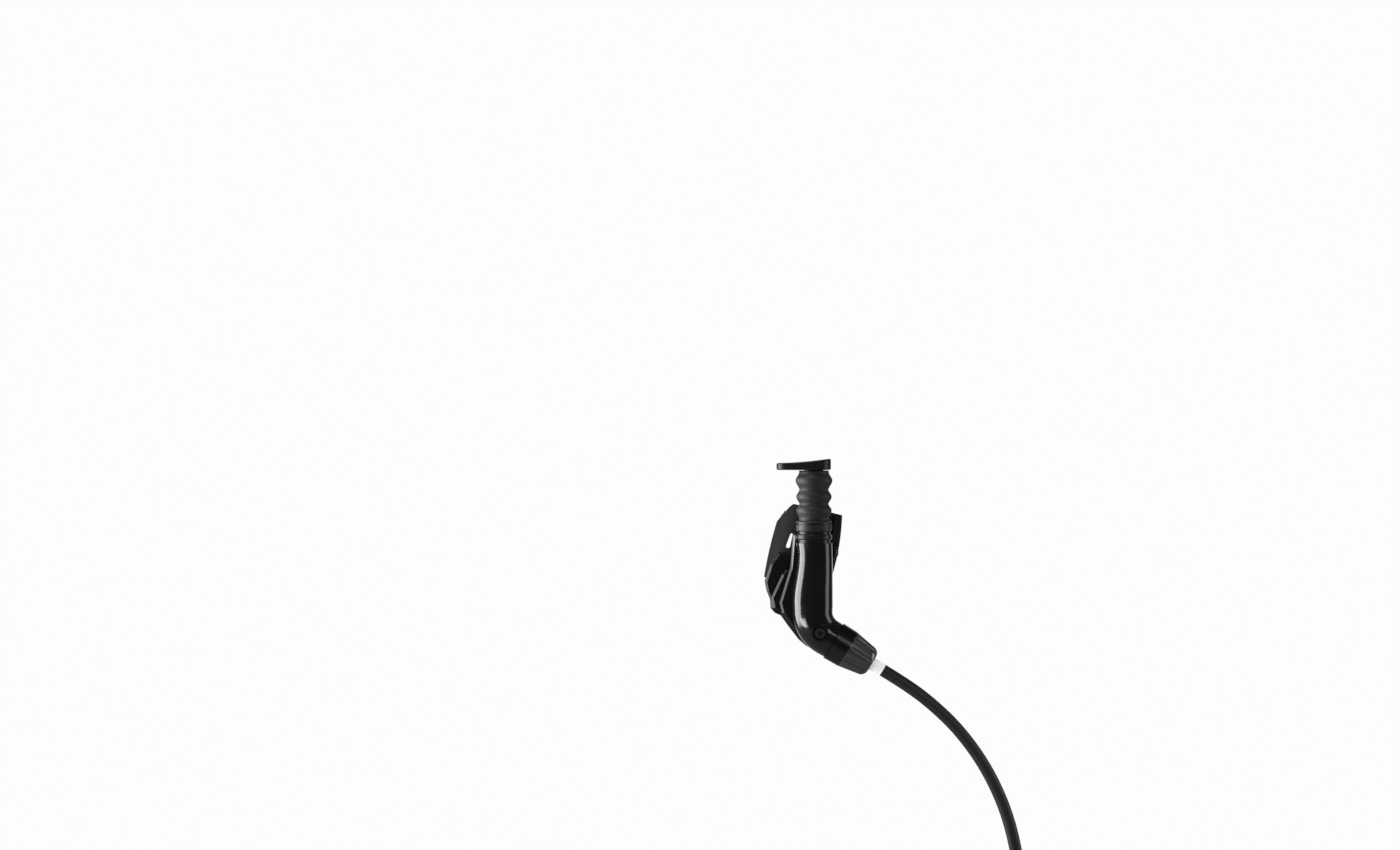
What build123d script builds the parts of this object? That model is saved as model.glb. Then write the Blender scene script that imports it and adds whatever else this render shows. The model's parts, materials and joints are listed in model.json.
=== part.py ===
from build123d import *
import os
from math import atan2, cos, degrees, pi, radians, sin, tan

os.makedirs("parts", exist_ok=True)

# Frame: the origin is the middle of the handlebar clamp, on the handlebar's axis. +Z is up along the
# barrel, +X is to the right and +Y points from the barrel back through the clamp.

# Handlebar clamp, in the clamp's own frame: x across the bar, y back, s along the bar
bar_diameter = 22.2
bar_tilt = 12.9
saddle_wall = 3.5
saddle_top_wall = 2.1
saddle_bottom_wall = 3.1
saddle_top = 15.5
saddle_bottom = -19.0
cap_bottom = -12.5
cap_wall = 4.5
cap_top_wall = 2.6
cap_bottom_wall = 4.2
cap_window_low = -4.6
cap_window_high = 3.6
cap_window_left = -10.8
cap_window_right = 8.4
bar_relief = 0.6
split_angle = 45.0
ear_gap = 1.0
teardrop_length = 6.8
teardrop_width = 1.9
teardrop_x = -7.1
teardrop_s = -0.5
teardrop_tip_radius = 0.55
teardrop_lean = 0.3
cap_window_corner = 2.0

# Clamp hinge and bolt
pin_diameter = 2.8
pin_head_height = 0.9
pin_head_lip = 0.7
knuckle_wall = 1.6
knuckle_length = 3.4
knuckle_clearance = 0.25
running_clearance = 0.05
press_clearance = 0.01
bolt_diameter = 4.0
bolt_s = -1.5
bolt_skin = 1.6
bolt_engagement = 6.6
bolt_head_diameter = 6.0
bolt_head_height = 2.2
bolt_hole_clearance = 0.3
bolt_key = 2.5
bolt_key_depth = 1.4
bolt_head_chamfer = 0.4
bolt_tip_gap = 0.4
ear_thickness = 1.4
boss_wall = 1.7
washer_diameter = 6.8
washer_thickness = 0.5

# Barrel, elbow and the cast gussets that tie them to the clamp
barrel_diameter = 16.0
barrel_x = 3.5
barrel_gap = 0.3
barrel_top = 0.4
flank_drop = 14.0
flank_diameter = 16.5
swell_drop = 21.5
swell_diameter = 17.8
swell_shift = -0.6
heel_drop = 27.0
heel_diameter = 18.1
heel_shift = -0.7
bend_radius = 13.5
elbow_end_diameter = 16.6
web_width = 11.0
web_bottom = -28.0
gusset_edge = 1.0
tail_front = 5.0
tail_back = 9.0
outer_rib_front = 3.0
inner_rib_front = 0.6
rib_back = 9.0
cut_overrun = 5.0

# Hydraulic bore and its ports
bore_diameter = 9.5
chamber_bottom = -29.0
port_diameter = 2.8
bleed_port_diameter = 1.4
metering_port_diameter = 1.1

# Gland, wiper, bush and the collar that holds the boot
gland_thread_diameter = 12.0
gland_thread_length = 6.2
gland_flange_diameter = 15.8
gland_flange_height = 2.4
gland_neck_diameter = 14.4
gland_neck_height = 1.6
gland_groove_height = 1.2
nose_diameter = 10.8
nose_height = 6.4
gland_rim_chamfer = 0.4
bush_diameter = 6.6
bush_length = 7.0
wiper_height = 1.6
collar_diameter = 15.8
collar_height = 4.6
collar_bead = 0.7
soft_clearance = 0.3

# Boot: three rings between the collar and the button
boot_wall = 0.9
boot_lip = 1.2
boot_low = 11.3
boot_high = 32.3
boot_ring_diameter = 15.6
boot_top_ring_diameter = 16.2
boot_valley_diameter = 12.8
boot_foot_diameter = 13.2
boot_ring_heights = (14.7, 20.8, 28.0)
boot_valley_heights = (17.6, 23.9)

# Button, rod and piston
button_low = 32.6
button_right_height = 5.2
button_left_height = 3.0
button_length = 24.0
button_width = 15.0
button_tip_width = 10.6
button_boss_diameter = 8.4
button_boss_length = 5.6
button_dish_depth = 0.5
button_rim_radius = 0.7
button_web = 2.4
button_travel = 8.5
rod_diameter = 5.0
rod_socket_depth = 3.0
rod_hole_clearance = 0.4
cross_pin_diameter = 1.6
cross_pin_drop = 2.6
piston_length = 8.0
piston_clearance = 0.03
piston_gap = 0.2
seal_section = 1.2
seal_land = 1.4
seal_clearance = 0.02
spring_wire = 0.9
spring_diameter = 6.4
spring_turns = 5.5
spring_clearance = 0.3

# Bleed port
bleed_x = 2.44
bleed_boss_diameter = 7.2
bleed_boss_proud = 0.5
bleed_screw_diameter = 4.0
bleed_thread_length = 4.6
bleed_head_diameter = 5.2
bleed_head_height = 1.5
bleed_key = 2.0
bleed_key_depth = 1.0
bleed_ring_section = 0.7
bleed_recess = 0.2

# Speed adjuster, along its own axis from the face of the elbow
adjuster_angle = 31.0
adjuster_x = 12.1
adjuster_z = -42.5
adjuster_gap = 0.5
knob_length = 19.6
knob_big_diameter = 17.6
knob_shoulder_diameter = 17.2
knob_shoulder_length = 7.0
knob_small_diameter = 13.8
knob_end_radius = 2.6
knob_flutes = 9
flute_radius = 1.9
flute_depth = 0.55
flute_start = 8.4
spigot_diameter = 8.0
spigot_length = 13.0
tip_diameter = 7.0
tip_length = 5.3
sleeve_wall = 0.9
sleeve_length = 4.4
sleeve_start = 5.6
key_height = 0.7
key_width = 2.0
key_clearance = 0.15
lock_ring_section = 0.6
lock_ring_depth = 0.45
lock_ring_diameter = 8.6
lock_ring_from_tip = 0.4
lock_ring_opening = 50.0
adjuster_seal_section = 0.8
adjuster_seal_from_shoulder = 1.4
detent_diameter = 12.6
detent_depth = 1.2
knob_counterbore = 9.4
barb_thread_diameter = 4.2
barb_thread_length = 7.0
barb_diameter = 5.6
barb_length = 6.0
barb_flange_diameter = 7.2
barb_flange_length = 1.0
barb_bore = 1.8
barb_groove = 0.3
barb_groove_width = 0.6

# Hose, its coil and what is on its far end
hose_diameter = 5.5
hose_length = 2000.0
hose_lead = 10.0
hose_points = ((54.5, -69.4), (68.4, -82.7), (81.2, -101.2), (90.6, -124.0), (95.2, -152.6))
coil_mean_radius = 31.0
coil_layers = 3
coil_rows = 3
coil_pitch = 1.04
coil_x = 59.0
coil_z = -178.0
tie_width = 8.0
tie_thickness = 1.0
tie_gap = 0.4
end_nut_length = 7.0
end_nut_across = 7.0
end_nut_clearance = 0.15
end_barb_length = 9.0
end_barb_diameter = 4.6
end_barb_shoulder = 2.0

# Places that follow from the sizes
bar_radius = bar_diameter / 2
barrel_radius = barrel_diameter / 2
barrel_y = -(bar_radius + saddle_wall + barrel_gap + barrel_radius) + 0.2
tilt = radians(bar_tilt)
clamp_x = Vector(cos(tilt), 0, -sin(tilt))
clamp_y = Vector(0, 1, 0)
clamp_z = Vector(sin(tilt), 0, cos(tilt))
clamp_plane = Plane(origin=(0, 0, 0), x_dir=clamp_x, z_dir=clamp_z)
split = radians(split_angle)
split_out = clamp_x * cos(split) - clamp_y * sin(split)
split_normal = clamp_x * sin(split) + clamp_y * cos(split)
pin_radius = pin_diameter / 2
knuckle_radius = pin_radius + knuckle_wall
hinge_radius = bar_radius + pin_radius + 1.1
hinge_x = -hinge_radius * cos(split)
hinge_y = hinge_radius * sin(split)
cap_knuckles = (cap_window_high, cap_window_low - knuckle_length)
case_knuckles = (
    cap_window_high + knuckle_length + knuckle_clearance,
    cap_window_low - 2 * knuckle_length - knuckle_clearance,
)
bolt_radius = bolt_diameter / 2
bolt_reach = bar_radius + bolt_skin + bolt_radius
bolt_point = split_out * bolt_reach + clamp_z * bolt_s
bolt_plane = Plane(origin=bolt_point, x_dir=clamp_z, z_dir=split_normal)
boss_radius = bolt_radius + boss_wall
barrel_axis = Axis((barrel_x, barrel_y, 0), (0, 0, 1))
barrel_section = Plane(origin=(barrel_x, barrel_y, 0), x_dir=(1, 0, 0), z_dir=(0, -1, 0))
adjuster_turn = radians(adjuster_angle)
adjuster_out = Vector(cos(adjuster_turn), 0, -sin(adjuster_turn))
adjuster_up = Vector(sin(adjuster_turn), 0, cos(adjuster_turn))
adjuster_origin = Vector(adjuster_x, barrel_y, adjuster_z)
adjuster_axis = Axis(adjuster_origin, adjuster_out)
adjuster_section = Plane(origin=adjuster_origin, x_dir=adjuster_up, z_dir=(0, 1, 0))
adjuster_plane = Plane(origin=adjuster_origin, x_dir=adjuster_up, z_dir=adjuster_out)
metering_point = adjuster_origin + adjuster_out * (sleeve_start + sleeve_length / 2)
port_corner = (adjuster_x - barrel_x) / cos(adjuster_turn)
tip_end = spigot_length + tip_length
hose_start = tip_end + barb_flange_length + barb_length
hose_exit = adjuster_origin + adjuster_out * hose_start

saddle_height = saddle_top - saddle_bottom
cap_window_x = (cap_window_left + cap_window_right) / 2
cap_window_s = (cap_window_low + cap_window_high) / 2
cap_window_width = cap_window_right - cap_window_left
cap_window_height = cap_window_high - cap_window_low
case_pin_low = case_knuckles[1]
case_pin_high = case_knuckles[0] + knuckle_length
lock_ring_high = spigot_length + tip_length - lock_ring_from_tip
lock_ring_low = lock_ring_high - lock_ring_section
lock_ring_inner = tip_diameter / 2 - lock_ring_depth
adjuster_seal_low = spigot_length + adjuster_seal_from_shoulder
adjuster_seal_high = adjuster_seal_low + adjuster_seal_section
adjuster_seal_inner = tip_diameter / 2 - adjuster_seal_section
adjuster_seal_radius = (tip_diameter - adjuster_seal_section) / 2
thread_low = spigot_length + tip_length - barb_thread_length
bleed_face = heel_diameter / 2 + bleed_boss_proud
bleed_seat = bleed_face - bleed_recess - bleed_head_height - bleed_ring_section
bleed_z = adjuster_z + (adjuster_x - barrel_x - bleed_x) * tan(adjuster_turn)
bleed_plane = Plane(origin=(barrel_x + bleed_x, barrel_y, bleed_z), x_dir=(1, 0, 0), z_dir=(0, -1, 0))
bleed_counterbore = bleed_head_diameter / 2 + soft_clearance
bleed_ring_radius = (bleed_screw_diameter + bleed_ring_section) / 2
flange_low = barrel_top + gland_neck_height
groove_low = flange_low + gland_flange_height
nose_low = groove_low + gland_groove_height
nose_high = nose_low + nose_height
gland_low = barrel_top - gland_thread_length
bush_low = nose_high - wiper_height - bush_length
rod_radius = rod_diameter / 2
rod_running = rod_radius + running_clearance
foot_radius = boot_foot_diameter / 2
button_right = barrel_x + button_width / 2
button_left = button_right - button_length
button_middle_height = (button_left_height + button_right_height) / 2 - button_dish_depth
rod_top = button_low + button_web
piston_top = gland_low - piston_gap
piston_low = piston_top - piston_length
piston_radius = bore_diameter / 2 - piston_clearance
seal_groove_radius = piston_radius - seal_section
spring_low = chamber_bottom + spring_wire / 2 + spring_clearance
spring_high = piston_low - spring_wire / 2 - spring_clearance
spring_height = spring_high - spring_low
sleeve_inner = spigot_diameter / 2 + running_clearance
sleeve_outer = sleeve_inner + sleeve_wall
cavity_radius = sleeve_outer + key_clearance
cavity_high = spigot_length + key_clearance
hose_radius = hose_diameter / 2
ear_plane = Plane(origin=split_out * bolt_reach, x_dir=clamp_z, z_dir=split_normal)
hinge_plane = Plane(origin=split_out * -hinge_radius, x_dir=clamp_z, z_dir=split_normal)
teardrop_tip_s = teardrop_s + teardrop_length / 2 - teardrop_tip_radius
window_plane = Plane(origin=(0, 0, 0), x_dir=clamp_x, z_dir=clamp_y * -1)
bolt_seat = ear_gap / 2 + ear_thickness
pin_plane = Plane(origin=(barrel_x, barrel_y, button_low - cross_pin_drop), z_dir=(0, 1, 0))
seal_lows = (piston_top - seal_land - seal_section, piston_low + seal_land)
key_reach = sleeve_outer + key_height
knob_cone_end = knob_length - knob_end_radius
knob_cone = atan2((knob_shoulder_diameter - knob_small_diameter) / 2, knob_cone_end - knob_shoulder_length)
flute_surface = knob_shoulder_diameter / 2 - (flute_start - knob_shoulder_length) * tan(knob_cone)
flute_reach = flute_surface + flute_radius - flute_depth
coil_step = coil_pitch * hose_diameter
coil_half_width = (coil_rows + 1) * coil_step / 2
coil_half_depth = coil_layers * coil_step / 2
coil_outer_turn = coil_mean_radius + (coil_layers - 1) * coil_step / 2
tie_inner_width = coil_half_width + tie_gap
tie_inner_depth = coil_half_depth + tie_gap
tie_outer_width = tie_inner_width + tie_thickness
tie_outer_depth = tie_inner_depth + tie_thickness
coil_y = barrel_y - coil_rows * coil_step / 2
end_y = coil_y - coil_half_width - soft_clearance - end_nut_across / 3 ** 0.5


def barrel_plane(height):
    """A level plane with its origin on the barrel's axis."""
    return Plane(origin=(barrel_x, barrel_y, height), z_dir=(0, 0, 1))


def ring(inner, outer, low, high, mode=Mode.ADD):
    """A rectangle in a section plane, from one radius to another and from one height to another."""
    with Locations(((inner + outer) / 2, (low + high) / 2)):
        Rectangle(outer - inner, high - low, mode=mode)


def round_edges(builder, radius):
    """The round edges of one radius in a piece that is being built."""
    circles = builder.edges().filter_by(GeomType.CIRCLE)
    return circles.filter_by(lambda edge: abs(edge.radius - radius) < 0.01)


def gusset(outline, front, back):
    """A cast plate behind the barrel, its outline seen from the front, with its front rim chamfered."""
    with BuildPart() as plate:
        with BuildSketch(Plane(origin=(0, back, 0), x_dir=(1, 0, 0), z_dir=(0, -1, 0))):
            with BuildLine():
                Polyline(*outline, close=True)
            make_face()
        extrude(amount=back - front)
        chamfer(plate.faces().sort_by(Axis.Y)[0].edges(), gusset_edge)
    return plate.part


# Casting: a barrel lofted through four round sections, and an elbow swept on from it to the adjuster's face
barrel_sections = (
    (0, 0, barrel_radius),
    (0, flank_drop, flank_diameter / 2),
    (swell_shift, swell_drop, swell_diameter / 2),
    (heel_shift, heel_drop, heel_diameter / 2),
)
heel_x = barrel_x + heel_shift
elbow_start = Vector(heel_x, barrel_y, barrel_top - heel_drop)
elbow_corner = Vector(heel_x, barrel_y, adjuster_z + (adjuster_x - heel_x) * tan(adjuster_turn))
elbow_tangent = bend_radius * tan((pi / 2 - adjuster_turn) / 2)
bend_start = elbow_corner + Vector(0, 0, elbow_tangent)
bend_end = elbow_corner + adjuster_out * elbow_tangent
elbow_face = adjuster_origin - adjuster_out * adjuster_gap
tail_outline = (
    (-12.0, -4.0), (-15.5, -9.0), (-18.0, -17.0), (-17.2, -21.0), (-15.6, -25.0), (-15.4, -28.6),
    (-13.6, -30.6), (-11.0, -31.7), (-8.0, -36.0), (-3.2, -42.2), (-0.3, -44.8), (7.3, -49.4),
    (9.0, -43.0), (2.0, -20.0), (-2.0, -4.0),
)
outer_rib_outline = (
    (-8.6, -11.2), (-10.4, -13.4), (-15.3, -24.0), (-14.3, -28.6), (-11.2, -30.4), (-6.0, -37.0),
    (2.0, -40.0), (2.0, -20.0), (-4.0, -11.2),
)
inner_rib_outline = (
    (-3.4, 5.6), (-5.6, 4.0), (-6.9, -10.6), (-11.6, -26.0), (-10.4, -30.6), (-5.0, -38.0),
    (3.0, -42.0), (3.0, 0.0), (-1.0, 0.0),
)
cuff_corner = (
    (-7.6, saddle_top + 1.0), (-9.6, 14.2), (-12.4, 9.4), (-14.2, 6.0), (-16.0, 6.0),
    (-16.0, saddle_top + 1.0),
)
with BuildPart() as housing:
    for shift, drop, radius in barrel_sections:
        with BuildSketch(barrel_plane(barrel_top - drop)):
            with Locations((shift, 0)):
                Circle(radius)
    loft()
    with BuildLine() as elbow:
        Line(elbow_start, bend_start)
        TangentArc(bend_start, bend_end, tangent=(0, 0, -1))
        Line(bend_end, elbow_face)
    elbow_line = elbow.wires()[0]
    for place, radius in ((0, heel_diameter / 2), (1, elbow_end_diameter / 2)):
        with BuildSketch(Plane(origin=elbow_line @ place, x_dir=(0, 1, 0), z_dir=elbow_line % place)):
            Circle(radius)
    sweep(path=elbow_line, multisection=True)
    # Half cuff round the handlebar, thinner towards its top edge
    with BuildSketch(Plane(origin=(0, 0, 0), x_dir=split_out, z_dir=split_out.cross(clamp_z))):
        with BuildLine():
            Polyline(
                (bar_radius + saddle_top_wall, saddle_top),
                (bar_radius, saddle_top),
                (bar_radius, saddle_bottom),
                (bar_radius + saddle_bottom_wall, saddle_bottom),
            )
            ThreePointArc(
                (bar_radius + saddle_bottom_wall, saddle_bottom),
                (bar_radius + saddle_wall, (2 * saddle_bottom + saddle_top) / 3),
                (bar_radius + saddle_top_wall, saddle_top),
            )
        make_face()
    revolve(axis=Axis((0, 0, 0), clamp_z * -1), revolution_arc=180)
    # Web and gussets between the barrel and the cuff
    with BuildSketch(Plane.XY.offset(web_bottom)):
        with Locations((barrel_x, barrel_y / 2 - bar_radius / 2)):
            Rectangle(web_width, -barrel_y - bar_radius + 2)
    extrude(amount=barrel_top - 1 - web_bottom)
    add(gusset(tail_outline, barrel_y + tail_front, -tail_back))
    add(gusset(outer_rib_outline, barrel_y + outer_rib_front, barrel_y + rib_back))
    add(gusset(inner_rib_outline, barrel_y + inner_rib_front, barrel_y + rib_back))
    # Boss for the clamp bolt's thread
    with BuildSketch(bolt_plane.offset(-ear_gap / 2)):
        Circle(boss_radius)
    extrude(amount=-bolt_engagement - 1)
    # Hinge knuckles
    for low in case_knuckles:
        with BuildSketch(clamp_plane.offset(low)):
            with Locations((hinge_x, hinge_y)):
                Circle(knuckle_radius)
        extrude(amount=knuckle_length)
    for low in cap_knuckles:
        with BuildSketch(clamp_plane.offset(low - knuckle_clearance)):
            with Locations((hinge_x, hinge_y)):
                Circle(knuckle_radius + knuckle_clearance)
        extrude(amount=knuckle_length + 2 * knuckle_clearance, mode=Mode.SUBTRACT)
    # Spigot that the adjuster turns on, its lock ring groove and its seal groove
    with BuildSketch(adjuster_section):
        ring(0, spigot_diameter / 2, -adjuster_gap - 2, spigot_length)
        ring(0, tip_diameter / 2, spigot_length - 1, spigot_length + tip_length)
    revolve(axis=adjuster_axis)
    with BuildSketch(adjuster_section):
        ring(lock_ring_inner, tip_diameter / 2 + 1, lock_ring_low, lock_ring_high)
        ring(adjuster_seal_inner, tip_diameter / 2 + 1, adjuster_seal_low, adjuster_seal_high)
    revolve(axis=adjuster_axis, mode=Mode.SUBTRACT)
    # Bleed boss on the front of the elbow
    with BuildSketch(bleed_plane):
        Circle(bleed_boss_diameter / 2)
    extrude(amount=bleed_face)
    # Bore for the piston, counterbore for the gland and the oil passages
    with BuildSketch(barrel_section):
        ring(0, gland_flange_diameter / 2 + soft_clearance, barrel_top, nose_high)
        ring(0, gland_thread_diameter / 2, gland_low, barrel_top + 1)
        ring(0, bore_diameter / 2, chamber_bottom, barrel_top)
        ring(0, port_diameter / 2, adjuster_z + port_corner * sin(adjuster_turn), chamber_bottom + 1)
    revolve(axis=barrel_axis, mode=Mode.SUBTRACT)
    with BuildSketch(adjuster_section):
        ring(0, port_diameter / 2, -port_corner, thread_low + 1)
        ring(0, barb_thread_diameter / 2, thread_low, spigot_length + tip_length + 1)
    revolve(axis=adjuster_axis, mode=Mode.SUBTRACT)
    # Metering ports through the spigot, under the sleeve
    with BuildSketch(Plane(origin=metering_point, x_dir=adjuster_out, z_dir=(0, 1, 0))):
        Circle(metering_port_diameter / 2)
    extrude(amount=spigot_diameter, both=True, mode=Mode.SUBTRACT)
    # Bleed port: a way into the passage, a thread and a counterbore for the screw's head
    for radius, low, high in (
        (bleed_port_diameter / 2, 0, bleed_face),
        (bleed_screw_diameter / 2, bleed_seat - bleed_thread_length, bleed_face),
        (bleed_counterbore, bleed_seat, bleed_face + 1),
    ):
        with BuildSketch(bleed_plane.offset(low)):
            Circle(radius)
        extrude(amount=high - low, mode=Mode.SUBTRACT)
    # Handlebar bore, relieved where the bar runs on below the cuff, and the slot that parts the ears
    with BuildSketch(clamp_plane.offset(saddle_bottom)):
        Circle(bar_radius)
    extrude(amount=saddle_height + cut_overrun, mode=Mode.SUBTRACT)
    with BuildSketch(clamp_plane.offset(saddle_bottom)):
        Circle(bar_radius + bar_relief)
    extrude(amount=-2 * saddle_height, mode=Mode.SUBTRACT)
    with BuildSketch(ear_plane.offset(-ear_gap / 2)):
        Rectangle(4 * saddle_height, 2 * (bolt_reach - bar_radius + boss_radius))
    extrude(amount=2 * boss_radius, mode=Mode.SUBTRACT)
    # Pin hole, thread for the clamp bolt and the teardrop window beside the barrel
    with BuildSketch(clamp_plane.offset(case_pin_low - 1)):
        with Locations((hinge_x, hinge_y)):
            Circle(pin_radius + press_clearance)
    extrude(amount=case_pin_high - case_pin_low + 2, mode=Mode.SUBTRACT)
    for start, way in ((case_pin_high, 1), (case_pin_low, -1)):
        with BuildSketch(clamp_plane.offset(start)):
            with Locations((hinge_x, hinge_y)):
                Circle(pin_radius + pin_head_lip + soft_clearance)
        extrude(amount=way * saddle_height, mode=Mode.SUBTRACT)
    with BuildSketch(bolt_plane.offset(-ear_gap / 2)):
        Circle(bolt_radius + running_clearance)
    extrude(amount=-bolt_engagement, mode=Mode.SUBTRACT)
    with BuildSketch(window_plane):
        with Locations((teardrop_x, teardrop_s - (teardrop_length - teardrop_width) / 2)):
            Circle(teardrop_width / 2)
        with Locations((teardrop_x + teardrop_lean, teardrop_tip_s)):
            Circle(teardrop_tip_radius)
        make_hull()
    extrude(amount=bar_radius + 2 * saddle_wall, mode=Mode.SUBTRACT)
    # Corner cut off the cuff's free end, over the barrel's left shoulder
    with BuildSketch(window_plane):
        with BuildLine():
            Polyline(*cuff_corner, close=True)
        make_face()
    extrude(amount=bar_radius + 2 * saddle_wall, both=True, mode=Mode.SUBTRACT)
housing.part.label = "housing"
export_step(housing.part, "parts/housing.step")

# Clamp cap: the other half of the cuff, with a window at the back, two knuckles and a spot-faced ear
with BuildPart() as clamp_cap:
    with BuildSketch(Plane(origin=(0, 0, 0), x_dir=split_out, z_dir=split_out.cross(clamp_z))):
        with BuildLine():
            Polyline(
                (bar_radius + cap_top_wall, saddle_top),
                (bar_radius, saddle_top),
                (bar_radius, cap_bottom),
                (bar_radius + cap_bottom_wall, cap_bottom),
            )
            ThreePointArc(
                (bar_radius + cap_bottom_wall, cap_bottom),
                (bar_radius + cap_wall, (2 * cap_bottom + saddle_top) / 3),
                (bar_radius + cap_top_wall, saddle_top),
            )
        make_face()
    revolve(axis=Axis((0, 0, 0), clamp_z), revolution_arc=180)
    with BuildSketch(ear_plane):
        Rectangle(4 * saddle_height, 2 * (bolt_reach - bar_radius + boss_radius))
    extrude(amount=ear_gap / 2, mode=Mode.SUBTRACT)
    with BuildSketch(hinge_plane):
        Rectangle(4 * saddle_height, 4 * knuckle_radius)
    extrude(amount=2 * knuckle_clearance, mode=Mode.SUBTRACT)
    with BuildSketch(bolt_plane.offset(ear_gap / 2)):
        Circle(boss_radius)
    extrude(amount=ear_thickness)
    with BuildSketch(window_plane):
        with Locations((cap_window_x, cap_window_s)):
            RectangleRounded(cap_window_width, cap_window_height, cap_window_corner)
    extrude(amount=-bar_radius - 2 * saddle_wall, mode=Mode.SUBTRACT)
    for low in cap_knuckles:
        with BuildSketch(clamp_plane.offset(low)):
            with Locations((hinge_x, hinge_y)):
                Circle(knuckle_radius)
        extrude(amount=knuckle_length)
    for low in case_knuckles:
        with BuildSketch(clamp_plane.offset(low - knuckle_clearance)):
            with Locations((hinge_x, hinge_y)):
                Circle(knuckle_radius + knuckle_clearance)
        extrude(amount=knuckle_length + 2 * knuckle_clearance, mode=Mode.SUBTRACT)
    with BuildSketch(clamp_plane.offset(saddle_bottom)):
        Circle(bar_radius)
    extrude(amount=saddle_height + cut_overrun, mode=Mode.SUBTRACT)
    with BuildSketch(clamp_plane.offset(saddle_bottom)):
        with Locations((hinge_x, hinge_y)):
            Circle(pin_radius + running_clearance)
    extrude(amount=saddle_height, mode=Mode.SUBTRACT)
    for start, way in ((case_pin_high, 1), (case_pin_low, -1)):
        with BuildSketch(clamp_plane.offset(start)):
            with Locations((hinge_x, hinge_y)):
                Circle(pin_radius + pin_head_lip + soft_clearance)
        extrude(amount=way * saddle_height, mode=Mode.SUBTRACT)
    with BuildSketch(bolt_plane):
        Circle(bolt_radius + bolt_hole_clearance)
    extrude(amount=4 * ear_thickness, mode=Mode.SUBTRACT)
    with BuildSketch(bolt_plane.offset(bolt_seat)):
        Circle(washer_diameter / 2 + soft_clearance)
    extrude(amount=4 * bolt_head_height, mode=Mode.SUBTRACT)
clamp_cap.part.label = "clamp_cap"
export_step(clamp_cap.part, "parts/clamp_cap.step")

# Hinge pin, peened over at both ends
with BuildPart() as hinge_pin:
    with BuildSketch(clamp_plane.offset(case_pin_low - pin_head_height)):
        with Locations((hinge_x, hinge_y)):
            Circle(pin_radius)
    extrude(amount=case_pin_high - case_pin_low + 2 * pin_head_height)
    for low in (case_pin_low - pin_head_height, case_pin_high):
        with BuildSketch(clamp_plane.offset(low)):
            with Locations((hinge_x, hinge_y)):
                Circle(pin_radius + pin_head_lip)
        extrude(amount=pin_head_height)
hinge_pin.part.label = "hinge_pin"
export_step(hinge_pin.part, "parts/hinge_pin.step")

# Clamp bolt with its socket, and the washer under its head
with BuildPart() as clamp_bolt:
    with BuildSketch(bolt_plane.offset(bolt_seat + washer_thickness)):
        Circle(bolt_head_diameter / 2)
    extrude(amount=bolt_head_height)
    chamfer(clamp_bolt.faces().sort_by(Axis((0, 0, 0), split_normal))[-1].edges(), bolt_head_chamfer)
    with BuildSketch(bolt_plane.offset(bolt_seat + washer_thickness)):
        Circle(bolt_radius)
    extrude(amount=-(bolt_seat + washer_thickness + ear_gap / 2 + bolt_engagement - bolt_tip_gap))
    with BuildSketch(bolt_plane.offset(bolt_seat + washer_thickness + bolt_head_height)):
        RegularPolygon(bolt_key / 2, 6, major_radius=False)
    extrude(amount=-bolt_key_depth, mode=Mode.SUBTRACT)
clamp_bolt.part.label = "clamp_bolt"
export_step(clamp_bolt.part, "parts/clamp_bolt.step")

with BuildPart() as bolt_washer:
    with BuildSketch(bolt_plane.offset(bolt_seat)):
        Circle(washer_diameter / 2)
        Circle(bolt_radius + running_clearance, mode=Mode.SUBTRACT)
    extrude(amount=washer_thickness)
bolt_washer.part.label = "bolt_washer"
export_step(bolt_washer.part, "parts/bolt_washer.step")

# Gland screwed into the barrel: it guides the rod and carries the boot
with BuildPart() as end_gland:
    with BuildSketch(barrel_section):
        ring(0, gland_thread_diameter / 2 - press_clearance, gland_low, barrel_top)
        ring(0, gland_neck_diameter / 2, barrel_top, flange_low)
        ring(0, gland_flange_diameter / 2, flange_low, groove_low)
        ring(0, gland_neck_diameter / 2, groove_low, nose_low)
        ring(0, nose_diameter / 2, nose_low, nose_high)
        ring(0, rod_radius + rod_hole_clearance, gland_low, nose_high, mode=Mode.SUBTRACT)
        ring(0, bush_diameter / 2, bush_low, nose_high, mode=Mode.SUBTRACT)
    revolve(axis=barrel_axis)
    chamfer(round_edges(end_gland, gland_flange_diameter / 2), gland_rim_chamfer)
end_gland.part.label = "end_gland"
export_step(end_gland.part, "parts/end_gland.step")

with BuildPart() as guide_bush:
    with BuildSketch(barrel_section):
        ring(rod_running, bush_diameter / 2 - press_clearance, bush_low, bush_low + bush_length)
    revolve(axis=barrel_axis)
guide_bush.part.label = "guide_bush"
export_step(guide_bush.part, "parts/guide_bush.step")

with BuildPart() as rod_wiper:
    with BuildSketch(barrel_section):
        ring(rod_running, bush_diameter / 2 - press_clearance, nose_high - wiper_height, nose_high)
    revolve(axis=barrel_axis)
rod_wiper.part.label = "rod_wiper"
export_step(rod_wiper.part, "parts/rod_wiper.step")

# Collar that holds the boot's foot on the gland's nose, with a bead at each rim
with BuildPart() as boot_collar:
    with BuildSketch(barrel_section):
        ring(foot_radius + soft_clearance, collar_diameter / 2, nose_low, nose_low + collar_height)
        ring(
            collar_diameter / 2 - collar_bead,
            collar_diameter / 2,
            nose_low + collar_height * 0.62,
            nose_low + collar_height * 0.78,
            mode=Mode.SUBTRACT,
        )
    revolve(axis=barrel_axis)
    rims = round_edges(boot_collar, collar_diameter / 2)
    chamfer([rims.sort_by(Axis.Z)[0], rims.sort_by(Axis.Z)[-1]], gland_rim_chamfer)
boot_collar.part.label = "boot_collar"
export_step(boot_collar.part, "parts/boot_collar.step")

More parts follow.
